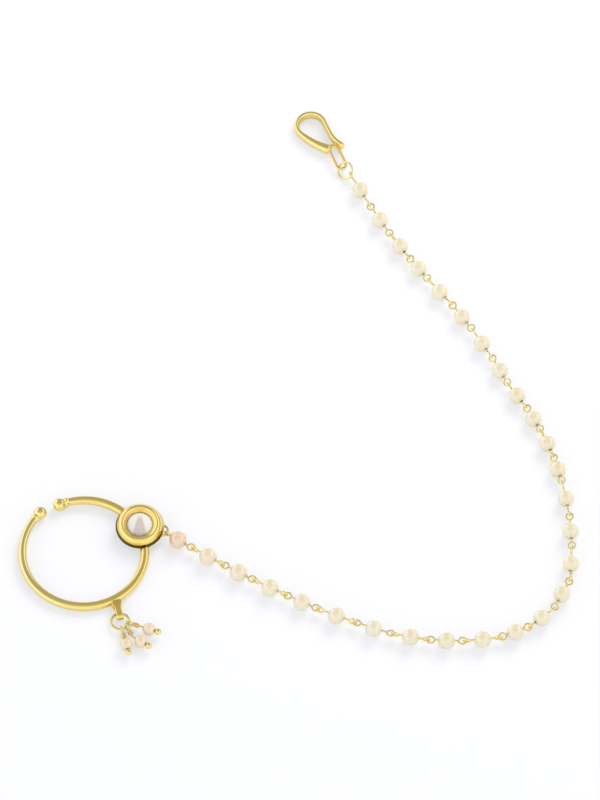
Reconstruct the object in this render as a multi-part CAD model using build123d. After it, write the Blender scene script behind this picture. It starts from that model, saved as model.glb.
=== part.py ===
from build123d import *
from collections import namedtuple
from math import asin, cos, degrees, radians, sin
import os

# A nath nose ring, lying on a table: an open gold hoop with a round stone setting, three small
# pearl drops, and a chain of pearls on linked eye pins that ends in a teardrop hair hook.
# Millimetres, +Z up. Pieces are laid out from the middle of the hoop with the table at z = 0,
# and moved at the end so that the origin is the middle of the bottom of the object's box.

BOX_MIDDLE = Vector(48.6, 46.35, 0.0)    # middle of the object's box, from the hoop's middle

# Hoop: round wire, thinner towards its two ball ends. One end is spread a little outwards.
HOOP_RADIUS = 13.85         # middle of the wire
WIRE_RADIUS = 1.03
WIRE_END_RADIUS = 0.88      # beside the balls
BALL_RADIUS = 1.55
SPREAD_END = 138.0          # the ball on the spread end, as an angle on that end's wider arc
SPREAD_FROM = 190.0         # the wider arc joins the hoop's circle here
SPREAD_RADIUS = 15.2
TAPER_FROM = 434.0          # the other end thins from here
FREE_END = 474.0            # and has its ball here
GAP_ANGLE = 123.5           # direction of the gap between the balls
COLLAR_RADIUS = 0.30        # small bead of metal round the wire beside each ball
COLLAR_BACK = 1.62          # from the ball's middle

# Setting: a dished bezel, turned about its own axis and soldered on the hoop, leaning to -Y.
SETTING_PLACE = Vector(12.65, 6.30, 3.45)   # middle of its rim plane
SETTING_LEAN = 8.0
RIM_RADIUS = 5.06
BASE_RADIUS = 5.50          # the wall under the rim flares out to this
RIM_WALL = 1.20             # height of that wall
CREST_RADIUS = 4.12
CREST_HEIGHT = 0.95
SEAT_RADIUS = 2.93          # the hollow that the stone sits in
SEAT_LIP = 0.11             # top of the hollow's wall
SEAT_FLOOR = -0.24
SADDLE_RADIUS = 1.9         # solder between the setting and the hoop's wire
SADDLE_HEIGHT = 1.2

# Stone: a shallow crown of eight main facets and eight breaks round a table.
STONE_RADIUS = 2.84         # corners of its girdle
STONE_GAP = 0.05            # clear of the seat
GIRDLE_HEIGHT = 0.25
CROWN_HEIGHT = 0.85
MAIN_SLOPE = 52.0           # from the upright
BREAK_SLOPE = 30.0
BREAK_OVERSIZE = 1.02

# Small soldered rings: a strap bail for the drops and a round one for the chain.
BAIL_TIP = Vector(8.57, -17.24, 0)
BAIL_HEADING = -77.0        # from the hoop to its tip
BAIL_LENGTH = 5.25
BAIL_HEIGHT = 2.06
BAIL_STRAP = 0.46
BAIL_WIDTH = 1.5
BAIL_ROOT_WIDTH = 2.4
BAIL_ROOT = 1.2             # length of the wide root, and of the taper after it
BAIL_MIDDLE = 1.04
CHAIN_RING_RADIUS = 1.30
CHAIN_RING_WIRE = 0.27
CHAIN_RING_HEIGHT = 2.05
CHAIN_RING_BACK = 4.30      # from the first pearl's middle
CHAIN_RING_POST = 0.55      # radius of the solder that holds the ring under the setting
CHAIN_RING_POST_RISE = 0.75

# Drops: ball-headed pins looped on a jump ring, each through one small pearl.
DROP_RING_RADIUS = 2.05
DROP_RING_WIRE = 0.29
DROP_RING_PLACE = Vector(8.43, -17.67, 1.02)
DROP_LOOP_RADIUS = 0.80
DROP_WIRE = 0.20
DROP_LOOP_OUT = 0.15        # the loop's middle, outwards from the jump ring's wire
DROP_LOOP_LIFT = 0.05       # the loop stands just clear of the table
DROP_PEARL_RADIUS = 1.50
DROP_HEAD_RADIUS = 0.76
DROP_HEAD_REACH = 2.20      # from the pearl's middle to the head's
KNUCKLE_RADIUS = 0.21       # rounds the pin's bend
WRAPS = 3                   # turns of wire wrapped round the pin's neck
WRAP_RADIUS = 0.38
WRAP_PITCH = 0.42
FIRST_WRAP = 0.40           # from the neck
Drop = namedtuple("Drop", "ring_angle heading reach bend")
DROPS = [
    Drop(ring_angle=-80, heading=-76, reach=4.25, bend=0),
    Drop(ring_angle=-45, heading=-62, reach=5.15, bend=27),
    Drop(ring_angle=-12, heading=-22, reach=4.75, bend=0),
]
BEND_AFTER = 3.0            # along the pin from the loop's middle to its bend

# Chain: each pin has a loop at both ends and runs through one pearl. It is laid pin by pin from
# the first pearl. A row is a stretch of pins alike: how many, their length between the middles
# of two joints, the turn to the left before each, and how far their loops are rolled from flat.
PEARL_RADIUS = 1.95
BIG_PEARL_RADIUS = 2.03
BIG_PEARLS = 4
DRILL_RADIUS = 0.35
PIN_WIRE = 0.225
PIN_LOOP_RADIUS = 0.82
LAST_LOOP_RADIUS = 0.95     # the last loop, which takes the hook's jump ring
SHORTEST_REACH = 3.12       # from a pearl's middle to its pin's loop
JOINT_SLACK = 0.51          # from the middle of a joint to each loop's middle
FIRST_PEARL = Vector(21.32, 3.11, 0)
FIRST_HEADING = -33.7
Stretch = namedtuple("Stretch", "pins length turn roll")
STRETCHES = [
    Stretch(pins=5, length=8.10, turn=1.8, roll=0),
    Stretch(pins=2, length=9.03, turn=3.5, roll=-12),
    Stretch(pins=3, length=8.15, turn=8.7, roll=8),
    Stretch(pins=2, length=7.14, turn=16.8, roll=20),
    Stretch(pins=2, length=8.46, turn=23.0, roll=10),
    Stretch(pins=2, length=8.70, turn=6.7, roll=-10),
    Stretch(pins=4, length=7.25, turn=6.0, roll=-25),
    Stretch(pins=1, length=8.27, turn=-7.0, roll=-30),
    Stretch(pins=3, length=8.47, turn=3.9, roll=-18),
    Stretch(pins=2, length=7.52, turn=-2.2, roll=-28),
    Stretch(pins=2, length=9.45, turn=-3.2, roll=-10),
]
FIRST_REACH = 2.95          # the first pin's loop in the chain ring, and its radius
FIRST_LOOP_RADIUS = 0.65
LAST_REACH = 4.38           # the last pin's neck is longer, out to the hook's jump ring

# Hair hook, in its own plane: x runs from its bend to its eye, y to the left of that.
HOOK_PLACE = Vector(55.43, 109.49, 0)       # where its shank meets its eye
HOOK_HEADING = -53.0
HOOK_THICK = 1.35
HOOK_DEEP = 2.30
HOOK_EDGE = 0.50            # radius of the wire's long edges
HOOK_RISE = 2.0             # degrees: the bend lies on the table, and the eye is a little raised
BEND_MIDDLE = Vector(-7.25, 0.45)
HOOK_BEND_RADIUS = 3.30
TIP_RUN_SLOPE = -14.5       # heading of the straight run from the bend towards the tip
TIP_RUN = 3.7
TIP_FLARE_RADIUS = 8.0      # the tip curls outwards again on this arc
TIP_FLARE = 31.0
SHANK_FROM = 8.0            # heading where the shank leaves the bend
SHANK_RADIUS = 19.0         # it curves on gently to the eye
SHANK_TURN = 23.4
SHANK_END_THICK = 2.2       # the shank swells to this at the eye
TIP_BALL_RADIUS = 0.82
EYE_MIDDLE = Vector(3.53, 0.12)
EYE_HEADING = -15.5
EYE_HALF_WIDTH = 1.10
EYE_HALF_STRAIGHT = 2.37
EYE_WIRE = 0.38

# Jump ring between the last pin and the hook's eye, leaning between them.
HOOK_RING_PLACE = Vector(59.43, 103.01, 1.66)
HOOK_RING_RADIUS = 1.98
HOOK_RING_WIRE = 0.24
HOOK_RING_HEADING = -56.0   # of the line that it leans about
HOOK_RING_LEAN = 44.4


def polar(distance, angle, height=0.0):
    """A point at a distance and an angle in degrees round the z axis."""
    return Vector(distance * cos(radians(angle)), distance * sin(radians(angle)), height)


def rod(start, end, radius):
    """A round rod between two points."""
    run = end - start
    upright = Cylinder(radius, run.length, align=(Align.CENTER, Align.CENTER, Align.MIN))
    return Plane(origin=start, z_dir=run) * upright


def ball(middle, radius, away):
    """A ball on the end of a wire, with its seam on the side away from the wire."""
    return Plane(origin=middle, x_dir=away) * Sphere(radius)


def part_ring(radius, wire_radius, start, turn):
    """Part of a round ring of wire about the z axis, from one angle on through a turn."""
    return Rot(0, 0, start) * Torus(radius, wire_radius, major_angle=turn, align=None)


def tapered_wire(arc):
    """The hoop's wire along one end's arc, thinning towards the ball."""
    sections = []
    for share in (0.0, 0.5, 1.0):
        radius = WIRE_RADIUS + share * (WIRE_END_RADIUS - WIRE_RADIUS)
        sections.append(Plane(origin=arc @ share, z_dir=arc % share) * Circle(radius))
    return sweep(sections, path=arc, multisection=True)


def ball_end(arc):
    """One thinning end of the hoop with its ball and the small collar beside it."""
    collar_at = 1 - COLLAR_BACK / arc.length
    collar_place = Plane(origin=arc @ collar_at, z_dir=arc % collar_at)
    collar = collar_place * Torus(WIRE_END_RADIUS, COLLAR_RADIUS)
    return tapered_wire(arc) + ball(arc @ 1, BALL_RADIUS, arc % 1) + collar


def hoop_wire():
    """The open hoop, tipped so that the balls and the far side of the wire touch the table."""
    circle_turn = TAPER_FROM - SPREAD_FROM
    circle = part_ring(HOOP_RADIUS, WIRE_RADIUS, SPREAD_FROM, circle_turn)
    free_arc = CenterArc((0, 0), HOOP_RADIUS, TAPER_FROM, FREE_END - TAPER_FROM)
    spread_middle = polar(HOOP_RADIUS - SPREAD_RADIUS, SPREAD_FROM)
    spread_turn = SPREAD_END - SPREAD_FROM
    spread_arc = CenterArc(spread_middle, SPREAD_RADIUS, SPREAD_FROM, spread_turn)
    flat = circle + ball_end(free_arc) + ball_end(spread_arc)
    tip = degrees(asin((BALL_RADIUS - WIRE_RADIUS) / (2 * HOOP_RADIUS)))
    tipped = Rot(0, 0, GAP_ANGLE) * Rot(0, -tip, 0) * Rot(0, 0, -GAP_ANGLE) * flat
    return Pos(0, 0, (BALL_RADIUS + WIRE_RADIUS) / 2) * tipped


def setting_place():
    """The setting's own frame: its middle on the rim plane, z along its axis."""
    return Pos(*SETTING_PLACE) * Rot(SETTING_LEAN, 0, 0)


def setting():
    """The dished bezel: a flared wall, a swelling outer slope, a crest and the stone's hollow."""
    with BuildPart() as bezel:
        with BuildSketch(Plane.XZ):
            with BuildLine():
                floor = Line((0, SEAT_FLOOR), (0, -RIM_WALL))
                base = Line(floor @ 1, (BASE_RADIUS, -RIM_WALL))
                wall = Line(base @ 1, (RIM_RADIUS, 0))
                slope = ThreePointArc(wall @ 1, (4.66, 0.57), (CREST_RADIUS, CREST_HEIGHT))
                crest = ThreePointArc(slope @ 1, (3.96, 0.98), (3.80, 0.89))
                dish = ThreePointArc(crest @ 1, (3.33, 0.55), (SEAT_RADIUS, SEAT_LIP))
                lip = Line(dish @ 1, (SEAT_RADIUS, SEAT_FLOOR))
                Line(lip @ 1, floor @ 0)
            make_face()
        revolve(axis=Axis.Z)
    return setting_place() * bezel.part


def saddle():
    """The solder that carries the setting on the hoop's wire, widest under the setting."""
    drop = Cylinder(SADDLE_RADIUS, SADDLE_HEIGHT, align=(Align.CENTER, Align.CENTER, Align.MAX))
    return setting_place() * Pos(0, 0, -RIM_WALL + 0.1) * drop


def kundan_stone():
    """The stone: eight steep breaks cut the corners of an eight-sided crown with a flat table."""
    def crown(half_width, slope, turn):
        outline = Rot(0, 0, turn) * RegularPolygon(half_width, 8, major_radius=False)
        return extrude(outline, amount=CROWN_HEIGHT, taper=slope)

    across = STONE_RADIUS * cos(radians(180 / 16))
    mains = crown(across, MAIN_SLOPE, 0)
    breaks = crown(across * BREAK_OVERSIZE, BREAK_SLOPE, 22.5)
    girdle = extrude(RegularPolygon(STONE_RADIUS, 16), amount=GIRDLE_HEIGHT)
    cut = girdle + Pos(0, 0, GIRDLE_HEIGHT) * (mains & breaks & Cylinder(STONE_RADIUS, 9))
    return setting_place() * Pos(0, 0, SEAT_FLOOR + STONE_GAP) * cut


def bail():
    """The folded strap soldered under the hoop, an upright slot that widens at its root."""
    profile = SlotOverall(BAIL_LENGTH, BAIL_HEIGHT)
    profile -= SlotOverall(BAIL_LENGTH - 2 * BAIL_STRAP, BAIL_HEIGHT - 2 * BAIL_STRAP)
    upright = Plane.XZ * Pos(-BAIL_LENGTH / 2, BAIL_MIDDLE) * profile
    strap = extrude(upright, amount=BAIL_ROOT_WIDTH / 2, both=True)
    wide, narrow = BAIL_ROOT_WIDTH / 2, BAIL_WIDTH / 2
    root, root_end = -BAIL_LENGTH, BAIL_ROOT - BAIL_LENGTH
    neck = root_end + BAIL_ROOT
    plan = Polyline(
        (root, -wide), (root_end, -wide), (neck, -narrow), (0, -narrow),
        (0, narrow), (neck, narrow), (root_end, wide), (root, wide), close=True,
    )
    shaped = strap & extrude(make_face(plan), amount=2 * BAIL_HEIGHT)
    return Pos(*BAIL_TIP) * Rot(0, 0, BAIL_HEADING) * shaped


def chain_ring():
    """The small flat ring that the chain starts from, and the solder that holds it up."""
    middle = FIRST_PEARL + polar(-CHAIN_RING_BACK, FIRST_HEADING, CHAIN_RING_HEIGHT)
    ring = Pos(*middle) * Torus(CHAIN_RING_RADIUS, CHAIN_RING_WIRE)
    foot = middle + polar(-CHAIN_RING_RADIUS, FIRST_HEADING, -CHAIN_RING_WIRE)
    return ring + rod(foot, foot + Vector(0, 0, CHAIN_RING_WIRE + CHAIN_RING_POST_RISE), CHAIN_RING_POST)


def nose_hoop():
    """All the metal that is soldered together."""
    return hoop_wire() + saddle() + setting() + bail() + chain_ring()


def drilled_pearl(radius, heading=0.0, slope=0.0):
    """A pearl with its hole along the pin, which points at a heading and climbs at a slope."""
    hole = Rot(0, 90, 0) * Cylinder(DRILL_RADIUS, 3 * radius)
    return Rot(0, 0, heading) * Rot(0, -slope, 0) * (Sphere(radius) - hole)


def drop_jump_ring():
    return Pos(*DROP_RING_PLACE) * Torus(DROP_RING_RADIUS, DROP_RING_WIRE)


def drop_route(drop):
    """The middles of a drop's loop, bend, pearl and head."""
    loop = DROP_RING_PLACE + polar(DROP_RING_RADIUS, drop.ring_angle)
    loop += polar(DROP_LOOP_OUT, drop.heading)
    loop.Z = DROP_LOOP_RADIUS + DROP_WIRE + DROP_LOOP_LIFT
    climb = (DROP_PEARL_RADIUS - loop.Z) / drop.reach
    bend = loop + polar(BEND_AFTER, drop.heading, climb * BEND_AFTER)
    rest = drop.reach - BEND_AFTER
    pearl = bend + polar(rest, drop.heading + drop.bend, climb * rest)
    head = pearl + (pearl - bend).normalized() * DROP_HEAD_REACH
    return loop, bend, pearl, head


def drop_pin(drop):
    """A pin with an upright loop on the jump ring, a wrapped neck and a ball head."""
    loop, bend, _, head = drop_route(drop)
    along = (bend - loop).normalized()
    neck = loop + along * (DROP_LOOP_RADIUS + DROP_WIRE / 4)
    upright = Rot(90, 0, 0) * Rot(0, 0, 180) * Torus(DROP_LOOP_RADIUS, DROP_WIRE)
    pin = Pos(*loop) * Rot(0, 0, drop.heading) * upright
    pin += rod(neck, bend, DROP_WIRE) + Plane(origin=bend, z_dir=along) * Sphere(KNUCKLE_RADIUS)
    pin += rod(bend, head, DROP_WIRE) + ball(head, DROP_HEAD_RADIUS, head - bend)
    for turn in range(WRAPS):
        place = neck + along * (FIRST_WRAP + turn * WRAP_PITCH)
        pin += Plane(origin=place, z_dir=along) * Torus(WRAP_RADIUS, DROP_WIRE)
    return pin


def drop_pearl(drop):
    _, bend, pearl, _ = drop_route(drop)
    slope = degrees(asin((pearl - bend).normalized().Z))
    return Pos(*pearl) * drilled_pearl(DROP_PEARL_RADIUS, drop.heading + drop.bend, slope)


def chain_layout():
    """Each pin of the chain: its pearl's middle and radius, heading, roll and two loop reaches."""
    rows = [stretch for stretch in STRETCHES for _ in range(stretch.pins)]
    laid = []
    heading = FIRST_HEADING
    joint = FIRST_PEARL - polar(rows[0].length / 2, heading)
    for number, row in enumerate(rows):
        if number > 0:
            heading += row.turn
        radius = BIG_PEARL_RADIUS if number < BIG_PEARLS else PEARL_RADIUS
        middle = joint + polar(row.length / 2, heading, radius)
        reach = max(SHORTEST_REACH, row.length / 2 - JOINT_SLACK)
        back = FIRST_REACH if number == 0 else reach
        on = LAST_REACH if number == len(rows) - 1 else reach
        laid.append((middle, radius, heading, 90 * (number % 2) + row.roll, back, on))
        joint = joint + polar(row.length, heading)
    return laid


def eye_pin(back, on, back_radius=PIN_LOOP_RADIUS, on_radius=PIN_LOOP_RADIUS, back_roll=0):
    """A pin along x with a flat loop at each end; its back loop may be rolled on the pin."""
    start = Vector(back_radius + PIN_WIRE / 4 - back, 0, 0)
    end = Vector(on - on_radius - PIN_WIRE / 4, 0, 0)
    back_loop = Pos(-back, 0, 0) * Rot(back_roll, 0, 0) * Torus(back_radius, PIN_WIRE)
    on_loop = Pos(on, 0, 0) * Rot(0, 0, 180) * Torus(on_radius, PIN_WIRE)
    return back_loop + rod(start, end, PIN_WIRE) + on_loop


def chain_pins():
    layout = chain_layout()
    pins = []
    for number, (middle, _, heading, roll, back, on) in enumerate(layout):
        if number == 0:
            pin = eye_pin(back, on, back_radius=FIRST_LOOP_RADIUS, back_roll=90)
        elif number == len(layout) - 1:
            pin = eye_pin(back, on, on_radius=LAST_LOOP_RADIUS)
        else:
            pin = eye_pin(back, on)
        pins.append(Pos(*middle) * Rot(0, 0, heading) * Rot(roll, 0, 0) * pin)
    return pins


def hook_frame():
    """The hook's own frame: bend on the table, and its eye a little raised."""
    reach = HOOK_BEND_RADIUS + HOOK_THICK / 2 - HOOK_EDGE - BEND_MIDDLE.X
    lift = HOOK_DEEP / 2 + reach * sin(radians(HOOK_RISE))
    return Pos(*HOOK_PLACE) * Pos(0, 0, lift) * Rot(0, 0, HOOK_HEADING) * Rot(0, -HOOK_RISE, 0)


def hook_path():
    """From the tip, along its flare and run, and round the bend."""
    run_from = BEND_MIDDLE + polar(HOOK_BEND_RADIUS, TIP_RUN_SLOPE + 90)
    run_to = run_from + polar(TIP_RUN, TIP_RUN_SLOPE)
    flare_middle = run_to + polar(TIP_FLARE_RADIUS, TIP_RUN_SLOPE + 90)
    tip_angle = TIP_RUN_SLOPE - 90 + TIP_FLARE
    flare = CenterArc(flare_middle, TIP_FLARE_RADIUS, tip_angle, -TIP_FLARE)
    run = Line(flare @ 1, run_from)
    bend_from, bend_to = TIP_RUN_SLOPE + 90, SHANK_FROM + 270
    bend = CenterArc(BEND_MIDDLE, HOOK_BEND_RADIUS, bend_from, bend_to - bend_from)
    return Wire([flare.edge(), run.edge(), bend.edge()])


def shank_arc():
    """The shank's gentle arc, which goes on from the bend in the same turn, out to the eye."""
    middle = BEND_MIDDLE + polar(SHANK_RADIUS - HOOK_BEND_RADIUS, SHANK_FROM + 90)
    return CenterArc(middle, SHANK_RADIUS, SHANK_FROM - 90, SHANK_TURN)


def hook_section(place, heading, thick):
    """The wire's section at a place on its path: deep, with rounded edges."""
    across = Vector(-heading.Y, heading.X, 0)
    section = Plane(origin=place, x_dir=across, z_dir=heading)
    return section * RectangleRounded(thick, HOOK_DEEP, HOOK_EDGE)


def hook_eye():
    """The long eye: two straight sides and two half rounds of thinner wire."""
    place = Pos(*EYE_MIDDLE) * Rot(0, 0, EYE_HEADING)
    eye = Pos(EYE_HALF_STRAIGHT, 0, 0) * part_ring(EYE_HALF_WIDTH, EYE_WIRE, -90, 180)
    eye += Pos(-EYE_HALF_STRAIGHT, 0, 0) * part_ring(EYE_HALF_WIDTH, EYE_WIRE, 90, 180)
    for side in (-EYE_HALF_WIDTH, EYE_HALF_WIDTH):
        start = Vector(-EYE_HALF_STRAIGHT, side, 0)
        eye += rod(start, start + Vector(2 * EYE_HALF_STRAIGHT, 0, 0), EYE_WIRE)
    return place * eye


def chain_hook():
    """The teardrop hook of deep wire, its ball tip, its swelling shank and its eye."""
    path = hook_path()
    tip, tip_heading = path @ 0, path % 0
    wire = sweep(hook_section(tip, tip_heading, HOOK_THICK), path=path)
    arc = shank_arc()
    sections = []
    for share in (0.0, 0.5, 1.0):
        thick = HOOK_THICK + share * (SHANK_END_THICK - HOOK_THICK)
        sections.append(hook_section(arc @ share, arc % share, thick))
    shank = sweep(sections, path=arc, multisection=True)
    tip_ball = ball(tip, TIP_BALL_RADIUS, -tip_heading)
    return hook_frame() * (wire + shank + tip_ball + hook_eye())


def hook_jump_ring():
    """The ring that leans in the hook's eye, with the last pin's loop on its other side."""
    ring = Torus(HOOK_RING_RADIUS, HOOK_RING_WIRE)
    return Pos(*HOOK_RING_PLACE) * Rot(0, 0, HOOK_RING_HEADING) * Rot(HOOK_RING_LEAN, 0, 0) * ring


def all_pieces():
    """Every piece by the name of its node."""
    pieces = {"nose_hoop": nose_hoop(), "kundan_stone": kundan_stone()}
    pieces["drop_jump_ring"] = drop_jump_ring()
    for number, drop in enumerate(DROPS, start=1):
        pieces[f"drop_pin_{number}"] = drop_pin(drop)
        pieces[f"drop_pearl_{number}"] = drop_pearl(drop)
    pieces["chain_eye_pins"] = Compound(chain_pins())
    for number, (middle, radius, heading, *_) in enumerate(chain_layout(), start=1):
        pieces[f"chain_pearl_{number:02d}"] = Pos(*middle) * drilled_pearl(radius, heading)
    pieces["hook_jump_ring"] = hook_jump_ring()
    pieces["chain_hook"] = chain_hook()
    return {name: Pos(*-BOX_MIDDLE) * piece for name, piece in pieces.items()}


if __name__ == "__main__":
    os.makedirs("parts", exist_ok=True)
    for node, piece in all_pieces().items():
        export_step(piece, f"parts/{node}.step")
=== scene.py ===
# %% [markdown]
# # A nath nose ring
# A nath is a bridal nose ring: an open gold hoop with a round stone setting, three small pearl
# drops under it, and a chain of pearls that is carried across the cheek to a hook in the hair.
# The model's exact solids load first, as a frame that never moves. Each one is then dressed by
# a smoother surface in the same place, with its finish.

# %% Load the frame
import math

import bpy
import numpy as np
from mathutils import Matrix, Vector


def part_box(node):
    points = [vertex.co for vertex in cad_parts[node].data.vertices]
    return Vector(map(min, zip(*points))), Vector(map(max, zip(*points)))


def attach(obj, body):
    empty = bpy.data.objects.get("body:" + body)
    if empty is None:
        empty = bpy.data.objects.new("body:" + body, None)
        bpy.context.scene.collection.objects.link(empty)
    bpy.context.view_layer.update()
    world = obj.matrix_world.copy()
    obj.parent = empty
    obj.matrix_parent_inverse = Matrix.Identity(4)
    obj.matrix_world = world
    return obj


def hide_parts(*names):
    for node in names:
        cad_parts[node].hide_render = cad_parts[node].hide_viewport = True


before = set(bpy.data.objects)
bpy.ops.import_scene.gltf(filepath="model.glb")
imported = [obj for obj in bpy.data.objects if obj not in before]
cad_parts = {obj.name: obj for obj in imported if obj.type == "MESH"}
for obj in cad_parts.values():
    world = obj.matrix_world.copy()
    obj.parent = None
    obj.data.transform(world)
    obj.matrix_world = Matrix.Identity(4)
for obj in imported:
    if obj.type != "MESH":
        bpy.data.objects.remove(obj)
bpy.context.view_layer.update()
MM = 0.001


# %% [markdown]
# ## Surfaces from arrays
# Nearly every piece here is wire, or a shape turned on a lathe. Both are the same kind of
# surface: a row of closed rings, each joined to the next by a band of four-sided faces. A
# curve with a bevel could make the wire, but an array lets one formula swell the wire into a
# ball, flatten it into a strap or wrap it round a neck. All lengths are millimetres until the
# mesh is made.

# %% Directions and turns
def polar(distance, angle):
    """Points at a distance and an angle in degrees round the z axis."""
    turned = np.radians(np.asarray(angle, float))
    return np.stack([distance * np.cos(turned), distance * np.sin(turned), 0 * turned], axis=-1)


def unit(vectors):
    """The directions of vectors, each as a vector that is one long."""
    return vectors / np.linalg.norm(vectors, axis=-1, keepdims=True)


def turn_matrix(axis, angle):
    """Rotation by an angle in degrees about the x, y or z axis, by the right-hand rule."""
    c, s = math.cos(math.radians(angle)), math.sin(math.radians(angle))
    first, second = [(1, 2), (2, 0), (0, 1)]["xyz".index(axis)]
    matrix = np.eye(3)
    matrix[[first, second], [first, second]] = c
    matrix[second, first] = s
    matrix[first, second] = -s
    return matrix


def moved(points, turns=(), shift=(0, 0, 0)):
    """Points turned by each (axis, angle) in order, then shifted."""
    for axis, angle in turns:
        points = points @ turn_matrix(axis, angle).T
    return points + np.asarray(shift, float)


# %% Skin through rings
def skin(rings, closed=False):
    """Vertices and faces through rings of shape (rows, around, 3): a quad joins each pair of
    neighbours on two neighbouring rings. A closed skin joins the last ring to the first, and an
    open one ends in a fan of triangles to the middle of each end ring."""
    rows, around = rings.shape[:2]
    index = np.arange(rows * around).reshape(rows, around)
    beside = np.roll(index, -1, axis=1)
    quads = np.stack([index, beside, np.roll(beside, -1, 0), np.roll(index, -1, 0)], axis=-1)
    points = rings.reshape(-1, 3)
    if closed:
        return points, quads.reshape(-1, 4), np.empty((0, 3), int)
    quads = quads[:-1].reshape(-1, 4)
    start, end = len(points), len(points) + 1
    points = np.vstack([points, rings[0].mean(0), rings[-1].mean(0)])
    start_fan = np.stack([beside[0], index[0], np.full(around, start)], axis=-1)
    end_fan = np.stack([index[-1], beside[-1], np.full(around, end)], axis=-1)
    return points, quads, np.vstack([start_fan, end_fan])


# %% Wire and turned shapes
def wire_rings(path, across, upright, side=(0, 0, 1), sides=16, squareness=2.0, closed=False):
    """Rings round a path: (across x cos, upright x sin) of the turn, with `upright` along `side`
    and `across` in the path's own plane, all times (|cos|^n + |sin|^n)^(-1/n). The squareness n
    is 2 for an ellipse, and more for a rounded oblong."""
    if closed:
        along = unit(np.roll(path, -1, 0) - np.roll(path, 1, 0))
    else:
        along = unit(np.gradient(path, axis=0))
    up = unit(np.asarray(side, float) - along * (along @ side)[:, None])
    out = np.cross(up, along)
    turned = np.arange(sides) * 2 * math.pi / sides
    cosine, sine = np.cos(turned), np.sin(turned)
    shrink = (np.abs(cosine) ** squareness + np.abs(sine) ** squareness) ** (-1 / squareness)
    across = np.broadcast_to(across, len(path))[:, None, None]
    upright = np.broadcast_to(upright, len(path))[:, None, None]
    ring = (shrink * cosine)[:, None] * out[:, None] * across
    ring = ring + (shrink * sine)[:, None] * up[:, None] * upright
    return path[:, None] + ring


def spun(profile, sides=96):
    """Rings of a shape turned on a lathe: (radius x cos, radius x sin, height) of the turn, for
    each profile row of (radius, height), from the bottom."""
    profile = np.asarray(profile, float)
    turned = np.arange(sides) * 2 * math.pi / sides
    radius, height = profile[:, :1], profile[:, 1:]
    return np.stack([radius * np.cos(turned), radius * np.sin(turned), height + 0 * turned], axis=-1)


# %% Points along a path
def distances(path):
    """How far along a path each of its points is."""
    return np.concatenate([[0], np.cumsum(np.linalg.norm(np.diff(path, axis=0), axis=1))])


def points_at(path, at):
    """The points of a path at given distances along it."""
    run = distances(path)
    return np.stack([np.interp(at, run, path[:, k]) for k in range(3)], axis=-1)


def evenly(path, step, closed=False):
    """The same path with its points at even steps of length."""
    if closed:
        path = np.vstack([path, path[:1]])
    length = distances(path)[-1]
    even = points_at(path, np.linspace(0, length, max(int(round(length / step)) + 1, 3)))
    return even[:-1] if closed else even


def eased(path, reach):
    """An open path with its corners rounded: each point becomes the mean of its neighbours
    within `reach` points, near ones counting more, and the two ends stay where they are."""
    weights = np.hanning(2 * reach + 3)[1:-1]
    padded = np.vstack([2 * path[0] - path[reach:0:-1], path, 2 * path[-1] - path[-2:-2 - reach:-1]])
    smooth = [np.convolve(padded[:, k], weights / weights.sum(), "valid") for k in range(3)]
    return np.stack(smooth, axis=-1)


def rounded_ends(path, radius, steps=4):
    """A path and its radii with a half ball added at each end of the wire: its rings reach out
    by sin of a lean, and shrink by cos."""
    lean = np.linspace(85, 0, steps, endpoint=False)
    shrink, reach = np.cos(np.radians(lean)), np.sin(np.radians(lean))
    radii = np.broadcast_to(radius, len(path))
    before = path[0] + unit(path[0] - path[1]) * (reach * radii[0])[:, None]
    after = path[-1] + unit(path[-1] - path[-2]) * (reach[::-1] * radii[-1])[:, None]
    radii = np.concatenate([shrink * radii[0], radii, shrink[::-1] * radii[-1]])
    return np.vstack([before, path, after]), radii


# %% [markdown]
# ## From arrays to pieces
# One function turns surfaces into a Blender object: it scales them to metres, moves them from
# the hoop's own middle to the frame, writes the mesh and marks its sharp edges. Several
# surfaces may share one mesh, as soldered metal does. Each piece rides on the one body and hides
# the solid that it stands for. The other helpers read a piece's points back, print how far its
# box is from that solid's, and mark each point with a number that a finish can read.

# %% Make a mesh
HOOP_MIDDLE = np.array([-48.6, -46.35, 0.0])     # from the frame's origin, in millimetres


def make_mesh(name, surfaces):
    """A mesh of (points, quads, triangles) surfaces laid out from the middle of the hoop."""
    points, faces, sides, first = [], [], [], 0
    for own_points, quads, triangles in surfaces:
        points.append(own_points)
        faces += [(quads + first).ravel(), (triangles + first).ravel()]
        sides += [np.full(len(quads), 4), np.full(len(triangles), 3)]
        first += len(own_points)
    points = (np.vstack(points) + HOOP_MIDDLE) * MM
    corners, sides = np.concatenate(faces), np.concatenate(sides)
    mesh = bpy.data.meshes.new(name)
    mesh.vertices.add(len(points))
    mesh.vertices.foreach_set("co", points.ravel())
    mesh.loops.add(len(corners))
    mesh.loops.foreach_set("vertex_index", corners)
    mesh.polygons.add(len(sides))
    mesh.polygons.foreach_set("loop_start", np.concatenate([[0], np.cumsum(sides)[:-1]]))
    mesh.update(calc_edges=True)
    mesh.validate()
    return mesh


# %% Make a piece
SHARP_ANGLE = 40


def add_object(name, data):
    """An object in the scene for a mesh, a lamp or a camera."""
    thing = bpy.data.objects.new(name, data)
    bpy.context.collection.objects.link(thing)
    return thing


def make_piece(name, surfaces, material, nodes, sharp=SHARP_ANGLE):
    """A finished piece that rides on the one body and stands for its solids."""
    mesh = make_mesh(name, surfaces)
    mesh.polygons.foreach_set("use_smooth", np.ones(len(mesh.polygons), bool))
    mesh.set_sharp_from_angle(angle=math.radians(sharp))
    mesh.materials.append(material)
    piece = add_object(name, mesh)
    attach(piece, "root")
    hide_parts(*nodes)
    return piece


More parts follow.
